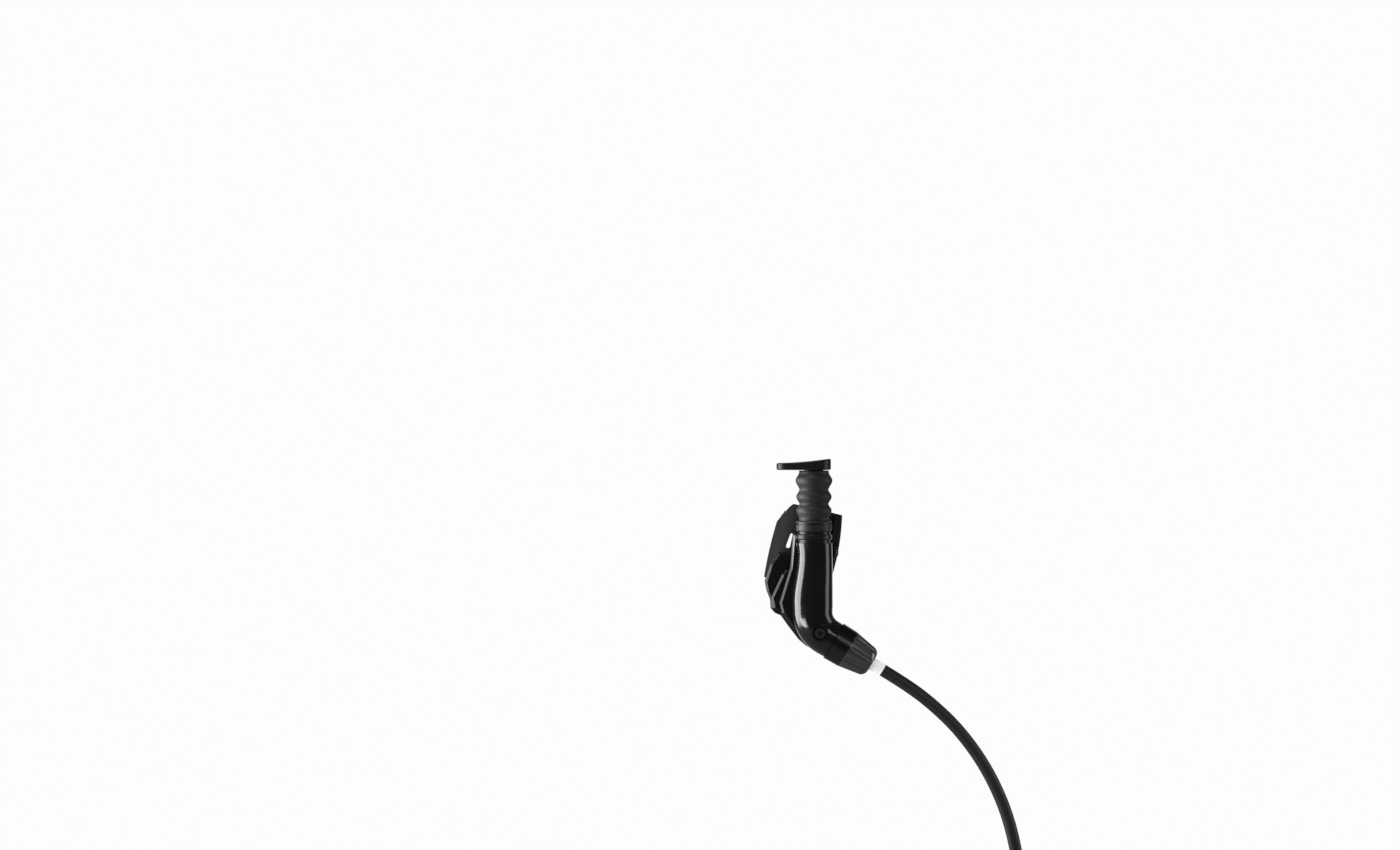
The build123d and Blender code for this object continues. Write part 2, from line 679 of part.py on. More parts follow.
# Boot: a rubber bellows of one wall, its foot under the collar and its lip under the button
with BuildPart() as boot:
    with BuildSketch(barrel_section):
        with BuildLine():
            outer = Spline(
                (foot_radius, boot_low),
                (boot_ring_diameter / 2, boot_ring_heights[0]),
                (boot_valley_diameter / 2, boot_valley_heights[0]),
                (boot_ring_diameter / 2, boot_ring_heights[1]),
                (boot_valley_diameter / 2, boot_valley_heights[1]),
                (boot_top_ring_diameter / 2, boot_ring_heights[2]),
                (foot_radius, boot_high - boot_lip),
            )
            Polyline(
                outer @ 1,
                (foot_radius, boot_high),
                (foot_radius - boot_wall, boot_high),
                (foot_radius - boot_wall, boot_high - boot_lip),
            )
            inner = Spline(
                (foot_radius - boot_wall, boot_high - boot_lip),
                (boot_top_ring_diameter / 2 - boot_wall, boot_ring_heights[2]),
                (boot_valley_diameter / 2 - boot_wall, boot_valley_heights[1]),
                (boot_ring_diameter / 2 - boot_wall, boot_ring_heights[1]),
                (boot_valley_diameter / 2 - boot_wall, boot_valley_heights[0]),
                (boot_ring_diameter / 2 - boot_wall, boot_ring_heights[0]),
                (nose_diameter / 2 + soft_clearance, nose_high + soft_clearance),
            )
            Polyline(
                inner @ 1,
                (nose_diameter / 2 + soft_clearance, nose_low + soft_clearance),
                (foot_radius, nose_low + soft_clearance),
                outer @ 0,
            )
        make_face()
    revolve(axis=barrel_axis)
boot.part.label = "boot"
export_step(boot.part, "parts/boot.step")

# Button: a thumb pad with a wing to the left, sloped and dished on top, on a boss for the rod
with BuildPart() as button:
    with BuildSketch(Plane(origin=(0, barrel_y, button_low), z_dir=(0, 0, 1))):
        with Locations((barrel_x, 0)):
            Circle(button_width / 2)
        with Locations((button_left + button_tip_width / 2, 0)):
            Circle(button_tip_width / 2)
        make_hull()
    extrude(amount=button_right_height + 1)
    with BuildSketch(Plane(origin=(0, barrel_y, button_low), x_dir=(1, 0, 0), z_dir=(0, -1, 0))):
        with BuildLine():
            ThreePointArc(
                (button_left - 1, button_left_height),
                ((button_left + button_right) / 2, button_middle_height),
                (button_right + 1, button_right_height),
            )
            Polyline(
                (button_right + 1, button_right_height),
                (button_right + 1, 2 * button_right_height),
                (button_left - 1, 2 * button_right_height),
                (button_left - 1, button_left_height),
            )
        make_face()
    extrude(amount=button_width, both=True, mode=Mode.SUBTRACT)
    fillet(button.faces().sort_by(Axis.Z)[-1].edges(), button_rim_radius)
    fillet(button.faces().sort_by(Axis.Z)[0].edges(), button_rim_radius)
    with BuildSketch(barrel_plane(button_low)):
        Circle(button_boss_diameter / 2)
    extrude(amount=-button_boss_length)
    with BuildSketch(barrel_plane(button_low - button_boss_length)):
        Circle(rod_radius + press_clearance)
    extrude(amount=button_boss_length + button_web, mode=Mode.SUBTRACT)
    with BuildSketch(pin_plane):
        Circle(cross_pin_diameter / 2 + press_clearance)
    extrude(amount=button_boss_diameter, both=True, mode=Mode.SUBTRACT)
button.part.label = "button"
export_step(button.part, "parts/button.step")

# Rod, and the cross pin that holds it in the button's boss
with BuildPart() as push_rod:
    with BuildSketch(barrel_plane(piston_top - rod_socket_depth)):
        Circle(rod_radius)
    extrude(amount=rod_top - piston_top + rod_socket_depth)
    chamfer(push_rod.faces().sort_by(Axis.Z)[-1].edges(), gland_rim_chamfer)
    with BuildSketch(pin_plane):
        Circle(cross_pin_diameter / 2 + press_clearance)
    extrude(amount=button_boss_diameter, both=True, mode=Mode.SUBTRACT)
push_rod.part.label = "push_rod"
export_step(push_rod.part, "parts/push_rod.step")

with BuildPart() as cross_pin:
    with BuildSketch(pin_plane):
        Circle(cross_pin_diameter / 2)
    extrude(amount=button_boss_diameter / 2 - 2 * press_clearance, both=True)
cross_pin.part.label = "cross_pin"
export_step(cross_pin.part, "parts/cross_pin.step")

# Piston with two seal grooves and a seat for the spring
with BuildPart() as piston:
    with BuildSketch(barrel_section):
        ring(0, piston_radius, piston_low, piston_top)
        ring(0, rod_radius + press_clearance, piston_top - rod_socket_depth, piston_top, mode=Mode.SUBTRACT)
        for low in seal_lows:
            ring(seal_groove_radius, piston_radius + 1, low, low + seal_section, mode=Mode.SUBTRACT)
    revolve(axis=barrel_axis)
piston.part.label = "piston"
export_step(piston.part, "parts/piston.step")

for name, low in zip(("front_seal", "rear_seal"), seal_lows):
    with BuildPart() as seal:
        with BuildSketch(barrel_section):
            ring(
                seal_groove_radius + press_clearance,
                bore_diameter / 2 - seal_clearance,
                low + press_clearance,
                low + seal_section - press_clearance,
            )
        revolve(axis=barrel_axis)
    seal.part.label = name
    export_step(seal.part, f"parts/{name}.step")

# Return spring under the piston
with BuildPart() as return_spring:
    with BuildLine(barrel_plane(spring_low)):
        coil = Helix(spring_height / spring_turns, spring_height, spring_diameter / 2)
    with BuildSketch(Plane(origin=coil @ 0, z_dir=coil % 0)):
        Circle(spring_wire / 2)
    sweep(path=coil, is_frenet=True)
return_spring.part.label = "return_spring"
export_step(return_spring.part, "parts/return_spring.step")

# Bleed screw with a hex socket, and the ring under its head
with BuildPart() as bleed_screw:
    with BuildSketch(bleed_plane.offset(bleed_seat - bleed_thread_length + soft_clearance)):
        Circle(bleed_screw_diameter / 2 - press_clearance)
    extrude(amount=bleed_thread_length - soft_clearance + bleed_ring_section)
    with BuildSketch(bleed_plane.offset(bleed_seat + bleed_ring_section)):
        Circle(bleed_head_diameter / 2)
    extrude(amount=bleed_head_height)
    chamfer(bleed_screw.faces().sort_by(Axis.Y)[0].edges(), gland_rim_chamfer)
    with BuildSketch(bleed_plane.offset(bleed_seat + bleed_ring_section + bleed_head_height)):
        RegularPolygon(bleed_key / 2, 6, major_radius=False)
    extrude(amount=-bleed_key_depth, mode=Mode.SUBTRACT)
bleed_screw.part.label = "bleed_screw"
export_step(bleed_screw.part, "parts/bleed_screw.step")

with BuildPart() as bleed_ring:
    with BuildSketch(Plane(origin=bleed_plane.origin, x_dir=(1, 0, 0), z_dir=(0, 0, 1))):
        with Locations((bleed_ring_radius, -bleed_seat - bleed_ring_section / 2)):
            Circle(bleed_ring_section / 2 - press_clearance)
    revolve(axis=Axis(bleed_plane.origin, (0, 1, 0)))
bleed_ring.part.label = "bleed_ring"
export_step(bleed_ring.part, "parts/bleed_ring.step")

# Speed adjuster: a fluted cone that turns on the spigot, broached inside for the sleeve's keys
with BuildPart() as adjuster_knob:
    with BuildSketch(adjuster_section):
        with BuildLine():
            Line((0, 0), (knob_big_diameter / 2, 0))
            Line((knob_big_diameter / 2, 0), (knob_shoulder_diameter / 2, knob_shoulder_length))
            side = Line(
                (knob_shoulder_diameter / 2, knob_shoulder_length),
                (knob_small_diameter / 2, knob_cone_end),
            )
            end = TangentArc(
                (knob_small_diameter / 2, knob_cone_end),
                (knob_small_diameter / 2 - knob_end_radius, knob_length),
                tangent=side % 1,
            )
            Polyline(end @ 1, (0, knob_length), (0, 0))
        make_face()
        ring(0, detent_diameter / 2 + soft_clearance, 0, detent_depth, mode=Mode.SUBTRACT)
        ring(0, cavity_radius, 0, cavity_high, mode=Mode.SUBTRACT)
        ring(0, tip_diameter / 2 + running_clearance, 0, knob_length, mode=Mode.SUBTRACT)
        ring(0, knob_counterbore / 2, lock_ring_low - key_clearance, knob_length, mode=Mode.SUBTRACT)
    revolve(axis=adjuster_axis)
    with BuildSketch(adjuster_plane):
        for turn in (0, 180):
            with Locations(Location((0, 0, 0), (0, 0, turn))):
                with Locations((key_reach / 2 + key_clearance / 2, 0)):
                    Rectangle(key_reach + key_clearance, key_width + 2 * key_clearance)
    extrude(amount=cavity_high, mode=Mode.SUBTRACT)
    with Locations(adjuster_plane.offset(flute_start)):
        with PolarLocations(flute_reach, knob_flutes):
            Cylinder(
                flute_radius,
                2 * knob_length,
                rotation=(0, -degrees(knob_cone), 0),
                align=(Align.CENTER, Align.CENTER, Align.MIN),
                mode=Mode.SUBTRACT,
            )
adjuster_knob.part.label = "adjuster_knob"
export_step(adjuster_knob.part, "parts/adjuster_knob.step")

# Metering sleeve on the spigot, keyed to the knob so that it turns with it and creeps along
with BuildPart() as metering_sleeve:
    with BuildSketch(adjuster_plane.offset(sleeve_start)):
        Circle(sleeve_outer)
        for turn in (0, 180):
            with Locations(Location((0, 0, 0), (0, 0, turn))):
                with Locations((key_reach / 2, 0)):
                    Rectangle(key_reach, key_width)
        Circle(sleeve_inner, mode=Mode.SUBTRACT)
    extrude(amount=sleeve_length)
metering_sleeve.part.label = "metering_sleeve"
export_step(metering_sleeve.part, "parts/metering_sleeve.step")

# Detent ring between the elbow's face and the knob
with BuildPart() as detent_ring:
    with BuildSketch(adjuster_section):
        ring(
            spigot_diameter / 2 + press_clearance,
            detent_diameter / 2,
            -adjuster_gap,
            detent_depth - soft_clearance,
        )
    revolve(axis=adjuster_axis)
detent_ring.part.label = "detent_ring"
export_step(detent_ring.part, "parts/detent_ring.step")

with BuildPart() as adjuster_seal:
    with BuildSketch(adjuster_section):
        with Locations((adjuster_seal_radius, (adjuster_seal_low + adjuster_seal_high) / 2)):
            Circle(adjuster_seal_section / 2 - press_clearance)
    revolve(axis=adjuster_axis)
adjuster_seal.part.label = "adjuster_seal"
export_step(adjuster_seal.part, "parts/adjuster_seal.step")

# Split lock ring in the groove near the spigot's tip
with BuildPart() as lock_ring:
    with BuildSketch(adjuster_section):
        ring(
            lock_ring_inner + press_clearance,
            lock_ring_diameter / 2,
            lock_ring_low + press_clearance,
            lock_ring_high - press_clearance,
        )
    revolve(axis=adjuster_axis, revolution_arc=360 - lock_ring_opening)
lock_ring.part.label = "lock_ring"
export_step(lock_ring.part, "parts/lock_ring.step")

# Hose barb screwed into the spigot: a flange in the knob's mouth and a bright turned body
with BuildPart() as hose_barb:
    with BuildSketch(adjuster_section):
        ring(0, barb_thread_diameter / 2 - press_clearance, thread_low + press_clearance, tip_end)
        ring(0, barb_diameter / 2, spigot_length + tip_length, hose_start)
        ring(
            barb_diameter / 2 - barb_groove,
            barb_diameter,
            hose_start - 3 * barb_groove_width,
            hose_start - 2 * barb_groove_width,
            mode=Mode.SUBTRACT,
        )
        ring(0, barb_bore / 2, 0, hose_start, mode=Mode.SUBTRACT)
    revolve(axis=adjuster_axis)
    with BuildSketch(adjuster_plane.offset(spigot_length + tip_length)):
        RegularPolygon(barb_flange_diameter / 2, 6)
        Circle(barb_bore / 2, mode=Mode.SUBTRACT)
    extrude(amount=barb_flange_length)
    chamfer(round_edges(hose_barb, barb_diameter / 2).sort_by(adjuster_axis)[-1], barb_groove)
hose_barb.part.label = "hose_barb"
export_step(hose_barb.part, "parts/hose_barb.step")

# Hose: straight runs joined by tangent arcs, from the barb down to its coil
route = [hose_exit, hose_exit + adjuster_out * hose_lead]
route += [Vector(x, barrel_y, z) for x, z in hose_points]
route.append(Vector(coil_x + coil_outer_turn, barrel_y, coil_z))
radii = []
for before, corner, after in zip(route, route[1:], route[2:]):
    turned = radians((corner - before).get_angle(after - corner))
    shorter = min((corner - before).length, (after - corner).length)
    radii.append(0.45 * shorter / tan(turned / 2))
print("hose radii, mm:", [round(radius, 1) for radius in radii])
with BuildPart() as hose:
    with BuildLine():
        hose_line = FilletPolyline(*route, radius=radii)
    with BuildSketch(Plane(origin=hose_line @ 0, z_dir=hose_line % 0)):
        Circle(hose_radius)
    sweep(path=hose_line)
print("hose volume over section times length:", hose.part.volume / (pi * hose_radius**2 * hose_line.length))
hose.part.label = "hose"
export_step(hose.part, "parts/hose.step")

# Coil of the hose's put-away length, hanging on edge, with a tie round its top
coil_plane = Plane(origin=(coil_x, coil_y, coil_z), x_dir=(1, 0, 0), z_dir=(0, 0, 1))
with BuildPart() as hose_coil:
    with BuildSketch(coil_plane):
        with Locations((coil_mean_radius, 0)):
            RectangleRounded(2 * coil_half_depth, 2 * coil_half_width, hose_radius)
    revolve(axis=Axis(coil_plane.origin, (0, 1, 0)))
hose_coil.part.label = "hose_coil"
export_step(hose_coil.part, "parts/hose_coil.step")

tie_plane = Plane(origin=(coil_x, coil_y, coil_z + coil_mean_radius), x_dir=(0, 1, 0), z_dir=(1, 0, 0))
with BuildPart() as coil_tie:
    with BuildSketch(tie_plane):
        RectangleRounded(2 * tie_outer_width, 2 * tie_outer_depth, hose_radius)
        RectangleRounded(2 * tie_inner_width, 2 * tie_inner_depth, hose_radius, mode=Mode.SUBTRACT)
    extrude(amount=tie_width / 2, both=True)
coil_tie.part.label = "coil_tie"
export_step(coil_tie.part, "parts/coil_tie.step")

# Loose nut and threaded barb on the hose's far end, lying on the front of the coil
end_plane = Plane(origin=(coil_x, end_y, coil_z - coil_mean_radius), x_dir=(0, 0, 1), z_dir=(-1, 0, 0))
with BuildPart() as end_nut:
    with BuildSketch(end_plane):
        RegularPolygon(end_nut_across / 2, 6, major_radius=False)
        Circle(hose_radius + end_nut_clearance, mode=Mode.SUBTRACT)
    extrude(amount=end_nut_length)
end_nut.part.label = "end_nut"
export_step(end_nut.part, "parts/end_nut.step")

with BuildPart() as end_barb:
    with BuildSketch(end_plane.offset(end_nut_length)):
        Circle(barb_flange_diameter / 2)
    extrude(amount=end_barb_shoulder)
    with BuildSketch(end_plane.offset(end_nut_length + end_barb_shoulder)):
        Circle(end_barb_diameter / 2)
    extrude(amount=end_barb_length - end_barb_shoulder)
    chamfer(end_barb.faces().sort_by(Axis.X)[0].edges(), barb_groove)
    with BuildSketch(end_plane.offset(end_nut_length + end_barb_length)):
        Circle(barb_bore / 2)
    extrude(amount=-end_barb_length, mode=Mode.SUBTRACT)
end_barb.part.label = "end_barb"
export_step(end_barb.part, "parts/end_barb.step")
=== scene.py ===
import json
from math import cos, pi, radians, sin

import bpy
import numpy as np
from bpy.props import FloatProperty, FloatVectorProperty, IntProperty, PointerProperty
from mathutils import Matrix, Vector

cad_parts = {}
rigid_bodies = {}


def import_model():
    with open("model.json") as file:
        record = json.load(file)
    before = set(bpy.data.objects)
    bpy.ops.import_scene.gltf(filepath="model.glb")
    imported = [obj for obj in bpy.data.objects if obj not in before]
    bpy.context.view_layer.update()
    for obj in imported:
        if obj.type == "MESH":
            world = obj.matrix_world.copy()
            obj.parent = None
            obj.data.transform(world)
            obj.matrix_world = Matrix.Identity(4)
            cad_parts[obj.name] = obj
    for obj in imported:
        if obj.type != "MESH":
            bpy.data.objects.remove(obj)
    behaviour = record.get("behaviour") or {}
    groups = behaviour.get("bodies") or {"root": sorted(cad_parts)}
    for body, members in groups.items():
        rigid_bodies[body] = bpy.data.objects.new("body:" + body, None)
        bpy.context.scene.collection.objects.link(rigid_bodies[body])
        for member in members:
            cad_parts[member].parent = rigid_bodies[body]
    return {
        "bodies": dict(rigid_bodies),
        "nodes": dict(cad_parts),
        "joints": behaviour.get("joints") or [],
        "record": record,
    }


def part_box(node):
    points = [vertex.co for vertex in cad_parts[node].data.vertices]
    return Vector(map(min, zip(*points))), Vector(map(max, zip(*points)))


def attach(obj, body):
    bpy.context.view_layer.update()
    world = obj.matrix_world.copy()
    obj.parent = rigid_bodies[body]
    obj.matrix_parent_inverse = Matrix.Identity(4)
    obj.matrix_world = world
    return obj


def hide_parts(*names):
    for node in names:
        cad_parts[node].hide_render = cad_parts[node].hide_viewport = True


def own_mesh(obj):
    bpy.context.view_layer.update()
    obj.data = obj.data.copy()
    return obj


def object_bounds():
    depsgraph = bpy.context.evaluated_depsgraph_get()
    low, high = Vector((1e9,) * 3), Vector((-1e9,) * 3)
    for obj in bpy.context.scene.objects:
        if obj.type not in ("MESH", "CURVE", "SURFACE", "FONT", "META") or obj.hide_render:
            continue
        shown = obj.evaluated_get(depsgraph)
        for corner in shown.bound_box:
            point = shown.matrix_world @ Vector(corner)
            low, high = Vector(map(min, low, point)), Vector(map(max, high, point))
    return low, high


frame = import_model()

bl_info = {
    "name": "Dropper Post Remote",
    "version": (1, 0, 0),
    "blender": (4, 5, 0),
    "location": "View3D > Sidebar > Remote",
    "description": "Dresses the handlebar remote of a hydraulic dropper post",
    "category": "Object",
}

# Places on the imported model, in metres: the barrel's axis with its lean to the side, and the elbow's bend
BARREL_X = 0.0035
BARREL_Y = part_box("return_spring")[0].y / 2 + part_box("return_spring")[1].y / 2
BARREL_LEAN = 0.7 / 27.0
BEND = np.array((0.0163, BARREL_Y, -0.0293))
BEND_RADIUS = 0.0135

# The adjuster's foot and direction, the end of its knob's shoulder and the gap between elbow and knob
ADJUSTER = np.array((0.0121, BARREL_Y, -0.0425))
ADJUSTER_TILT = radians(31.0)
ALONG = np.array((cos(ADJUSTER_TILT), 0.0, -sin(ADJUSTER_TILT)))
KNOB_SHOULDER = 0.007
KNOB_GAP = 0.0005

# The hose: where it starts along the adjuster, its first straight piece, its route as X and Z, and its coil
HOSE_EXIT = ADJUSTER + ALONG * 0.0253
HOSE_LEAD = 0.010
HOSE_ROUTE = ((0.0545, -0.0694), (0.0684, -0.0827), (0.0812, -0.1012), (0.0906, -0.1240), (0.0952, -0.1526))
HOSE_DIAMETER = 0.0055
COIL_STEPS = 16
LAYER_CHANGE = 0.2
LAST_TURN = 0.25

# Finishes: how far the gloss reaches from the barrel's middle line, where the ribs end and the cuff begins
# behind the barrel's axis, the width of the finest lines drawn, and the scale at which a wave texture repeats
# once in a metre
GLOSS_EDGE = (0.0092, 0.0095)
CUFF_EDGE = (0.0055, 0.0075)
FINE_LINE = 0.0003
WAVE_TURN = 2 * pi / 20

# Stage. Each lamp is written as its name, place, width and height, spread in degrees and the setting that
# holds its power. They are two tall softboxes left and right, level with the object, whose reflections run
# down both flanks of the barrel; a small key lamp in front, to the right and above; a card low on the left
# for the outside of the elbow; and a weak lamp overhead.
CAMERA = (-0.04664, BARREL_Y - 1.6, 0.05236)
LAMPS = (
    ("softbox_left", (-1.15, BARREL_Y + 0.08, 0.06), (0.95, 1.3), 180, "left_light"),
    ("softbox_right", (1.2, BARREL_Y + 0.02, 0.1), (0.55, 1.2), 180, "right_light"),
    ("key_lamp", (0.61, BARREL_Y - 1.0, 0.41), (0.3, 0.3), 180, "key_light"),
    ("low_card", (-0.25, BARREL_Y - 0.13, -0.137), (0.2, 0.06), 50, "low_light"),
    ("top_lamp", (-0.35, BARREL_Y - 0.2, 1.2), (0.7, 0.7), 180, "top_light"),
)

# The world's strength for matt surfaces and, in its dark room, for what shines, and how squarely a ray has to
# go back before the room turns pale
MATT_GLOW = 0.95
ROOM_GLOW = 0.04
WALL_FROM = 0.75

# The floor: its middle in X, how far it lies under the lowest piece, its rings, where it fades, and the share
# of its colour that reflections show, a painted shade that darkens the floor wherever shiny parts mirror it
FLOOR_X = 0.03
FLOOR_DROP = 0.0005
FLOOR_RINGS = np.concatenate(([0.0005], np.linspace(0.02, 0.72, 36)))
FLOOR_FADE = (0.25, 0.7)
FLOOR_REFLECTION_SHADE = 0.15

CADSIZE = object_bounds()


# Numbers and meshes

def linear(code):
    """A colour written as six hex digits, turned from sRGB to the linear values that shaders take."""
    srgb = np.array([int(code[i:i + 2], 16) for i in (0, 2, 4)]) / 255
    low = srgb / 12.92
    high = ((srgb + 0.055) / 1.055) ** 2.4
    return tuple(np.where(srgb <= 0.04045, low, high)) + (1.0,)


def grid_mesh(name, points, closed_across=True, closed_along=False):
    """A quad mesh from an array of points, rows by columns by 3. Each quad joins a point to its neighbours in
    the next row and column; the last column joins the first where closed_across, and the last row the first
    where closed_along."""
    rows, columns = points.shape[:2]
    row = np.arange(rows if closed_along else rows - 1)
    column = np.arange(columns if closed_across else columns - 1)
    r, c = np.meshgrid(row, column, indexing="ij")
    r2, c2 = (r + 1) % rows, (c + 1) % columns
    corners = (r * columns + c, r * columns + c2, r2 * columns + c2, r2 * columns + c)
    quads = np.stack(corners, -1).reshape(-1, 4)
    mesh = bpy.data.meshes.new(name)
    mesh.vertices.add(rows * columns)
    mesh.vertices.foreach_set("co", points.astype(np.float32).ravel())
    mesh.loops.add(quads.size)
    mesh.loops.foreach_set("vertex_index", quads.astype(np.int32).ravel())
    mesh.polygons.add(len(quads))
    mesh.polygons.foreach_set("loop_start", np.arange(0, quads.size, 4, dtype=np.int32))
    mesh.polygons.foreach_set("use_smooth", np.ones(len(quads), bool))
    mesh.update(calc_edges=True)
    mesh.validate()
    return mesh


def put(name, mesh, body, slot):
    """A piece in the scene from its mesh: it rides on a body and takes its slot and that slot's finish."""
    piece = bpy.data.objects.new(name, mesh)
    bpy.context.scene.collection.objects.link(piece)
    piece.data.materials.append(finishes()[slot])
    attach(piece, body)
    return piece


def turned(profile, around, foot, axis, across):
    """A surface of revolution: each profile point (radius, height) is carried round the axis, so a point is
    the foot plus height times the axis plus radius times (cosine of the angle times one normal plus sine
    times the other)."""
    angle = np.linspace(0, 2 * pi, around, endpoint=False)
    axis, across = np.asarray(axis, float), np.asarray(across, float)
    third = np.cross(axis, across)
    radius, height = profile[:, 0][:, None], profile[:, 1][:, None]
    spoke = np.cos(angle)[None, :, None] * across + np.sin(angle)[None, :, None] * third
    return np.asarray(foot) + height[..., None] * axis + radius[..., None] * spoke


# Nodes

def add_node(tree, kind, settings=None, **inputs):
    """Adds a node, sets its settings, then fills each named input with a value or a link from a socket."""
    node = tree.nodes.new(kind)
    for key, value in (settings or {}).items():
        setattr(node, key, value)
    for key, value in inputs.items():
        socket = node.inputs[int(key[1:]) if key[1:].isdigit() else key.replace("_", " ")]
        if isinstance(value, bpy.types.NodeSocket):
            tree.links.new(value, socket)
        else:
            socket.default_value = value
    return node


def blank(name):
    """A new node material, still empty, and its tree."""
    material = bpy.data.materials.new(name)
    material.use_nodes = True
    material.node_tree.nodes.clear()
    return material, material.node_tree


def finish_with(tree, shader):
    """Joins a shader to the material's output."""
    add_node(tree, "ShaderNodeOutputMaterial", Surface=shader.outputs[0])


def surface(tree, **inputs):
    """The material's surface, joined to its output."""
    finish_with(tree, add_node(tree, "ShaderNodeBsdfPrincipled", **inputs))


def spot_on(tree):
    """Where on the object each point is, in metres."""
    return add_node(tree, "ShaderNodeTexCoord").outputs["Object"]


def noise(tree, place, scale, detail, roughness=0.5):
    """Noise whose waves are about as long as one metre divided by the scale."""
    return add_node(tree, "ShaderNodeTexNoise", Vector=place, Scale=scale, Detail=detail,
                    Roughness=roughness).outputs["Fac"]


def lathe_rings(tree, place, distortion):
    """Rings square to the barrel, as a lathe's feed leaves them, one in every fine line's width."""
    return add_node(tree, "ShaderNodeTexWave", {"bands_direction": "Z"}, Vector=place,
                    Scale=WAVE_TURN / FINE_LINE, Distortion=distortion, Detail=1.0).outputs["Fac"]


def tones(tree, value, low, high):
    """A colour that runs from one hex code to the other as the value runs from 0 to 1."""
    ramp = add_node(tree, "ShaderNodeValToRGB", Fac=value)
    ramp.color_ramp.elements[0].color = linear(low)
    ramp.color_ramp.elements[1].color = linear(high)
    return ramp.outputs["Color"]


def between(tree, value, low, high):
    """A number that runs from low to high as the value runs from 0 to 1."""
    return add_node(tree, "ShaderNodeMapRange", Value=value, To_Min=low, To_Max=high).outputs["Result"]


def soft_step(tree, value, start, end, low=0.0, high=1.0):
    """A number that eases from low to high as the value runs from start to end."""
    return add_node(tree, "ShaderNodeMapRange", {"interpolation_type": "SMOOTHSTEP"}, Value=value,
                    From_Min=start, From_Max=end, To_Min=low, To_Max=high).outputs["Result"]


def mixed(tree, factor, first, second):
    """A number that goes from the first to the second as the factor goes from 0 to 1."""
    return add_node(tree, "ShaderNodeMix", {"data_type": "FLOAT"}, Factor=factor, _2=first,
                    _3=second).outputs[0]


def relief(tree, height, strength, distance, **more):
    """The normal of a surface that rises by the distance, at strength 1, as the height goes from 0 to 1."""
    return add_node(tree, "ShaderNodeBump", Height=height, Strength=strength, Distance=distance,
                    **more).outputs["Normal"]


def vectors(tree, operation, first, second=(0.0, 0.0, 0.0)):
    """Vector arithmetic: a number comes out for a length or a dot product, and a vector for the others."""
    node = add_node(tree, "ShaderNodeVectorMath", {"operation": operation}, _0=first, _1=second)
    return node.outputs["Value" if operation in ("LENGTH", "DOT_PRODUCT") else "Vector"]


def numbers(tree, operation, first, second):
    """Arithmetic on two numbers."""
    return add_node(tree, "ShaderNodeMath", {"operation": operation}, _0=first, _1=second).outputs[0]


# Finishes

def from_barrel_and_bend(tree, place):
    """How far each point is from the middle line of the barrel and its bend, whichever is nearer. For the
    barrel it is the length of the cross product of the axis' unit direction with the way from its foot to the
    point. For the bend, an arc of a circle seen from the front, it is the hypotenuse of the depth and of the
    distance from the circle's centre less its radius."""
    lean = np.array((BARREL_LEAN, 0.0, 1.0))
    way = vectors(tree, "SUBTRACT", place, (BARREL_X, BARREL_Y, 0.0))
    barrel = vectors(tree, "LENGTH", vectors(tree, "CROSS_PRODUCT", way, tuple(lean / np.linalg.norm(lean))))
    spoke = vectors(tree, "SUBTRACT", place, tuple(BEND))
    reach = vectors(tree, "LENGTH", vectors(tree, "MULTIPLY", spoke, (1.0, 0.0, 1.0)))
    excess = numbers(tree, "SUBTRACT", reach, BEND_RADIUS)
    depth = add_node(tree, "ShaderNodeSeparateXYZ", Vector=spoke).outputs["Y"]
    both = add_node(tree, "ShaderNodeCombineXYZ", X=excess, Y=depth).outputs[0]
    return numbers(tree, "MINIMUM", barrel, vectors(tree, "LENGTH", both))


def painted_casting():
    """Die-cast aluminium under black paint. The barrel and the elbow are polished before they are lacquered,
    so they carry a clear, hard gloss with a fine orange peel, about 0.9 mm from wave to wave. The cuff is
    matt, with the casting's own grain of about 0.5 mm. The ribs between the two are rubbed to a satin under a
    thin share of the lacquer, which draws bright lines along their edges."""
    rib_lacquer, grain_strength = 0.28, 0.55
    material, tree = blank("black_painted_cast_aluminium")
    place = spot_on(tree)
    cast = soft_step(tree, from_barrel_and_bend(tree, place), *GLOSS_EDGE)
    depth = add_node(tree, "ShaderNodeSeparateXYZ", Vector=place).outputs["Y"]
    cuff = soft_step(tree, depth, BARREL_Y + CUFF_EDGE[0], BARREL_Y + CUFF_EDGE[1])
    peel = noise(tree, place, 1100.0, 3.0)
    grain = noise(tree, place, 2000.0, 4.0, 0.7)
    patch = noise(tree, place, 170.0, 4.0, 0.6)
    polished = between(tree, patch, 0.2, 0.28)
    satin = between(tree, grain, 0.34, 0.48)
    matt = between(tree, grain, 0.56, 0.76)
    rough = mixed(tree, cast, polished, mixed(tree, cuff, satin, matt))
    lacquer = mixed(tree, cast, 1.0, between(tree, cuff, rib_lacquer, 0.0))
    soft_wave = relief(tree, peel, 0.05, 0.0002)
    strength = numbers(tree, "MULTIPLY", cast, grain_strength)
    bump = relief(tree, grain, strength, 0.0002, Normal=soft_wave)
    surface(tree, Base_Color=tones(tree, patch, "090707", "100c0d"), Roughness=rough, IOR=1.5,
            Specular_IOR_Level=0.11, Coat_Weight=lacquer, Coat_Roughness=0.08, Normal=bump,
            Coat_Normal=soft_wave)
    return material


def moulded_boot():
    """Nitrile rubber, moulded in a blasted tool: a soft black that scatters light and hardly shines, with a
    grain of about 0.25 mm, drawn at 0.4 mm so that it shows."""
    material, tree = blank("moulded_nitrile_rubber")
    place = spot_on(tree)
    grain = noise(tree, place, 2600.0, 2.0, 0.6)
    dust = noise(tree, place, 260.0, 5.0, 0.65)
    surface(tree, Base_Color=tones(tree, dust, "0f0c0d", "1f1b1c"), Roughness=between(tree, dust, 0.5, 0.62),
            IOR=1.52, Normal=relief(tree, grain, 0.4, 0.00015))
    return material


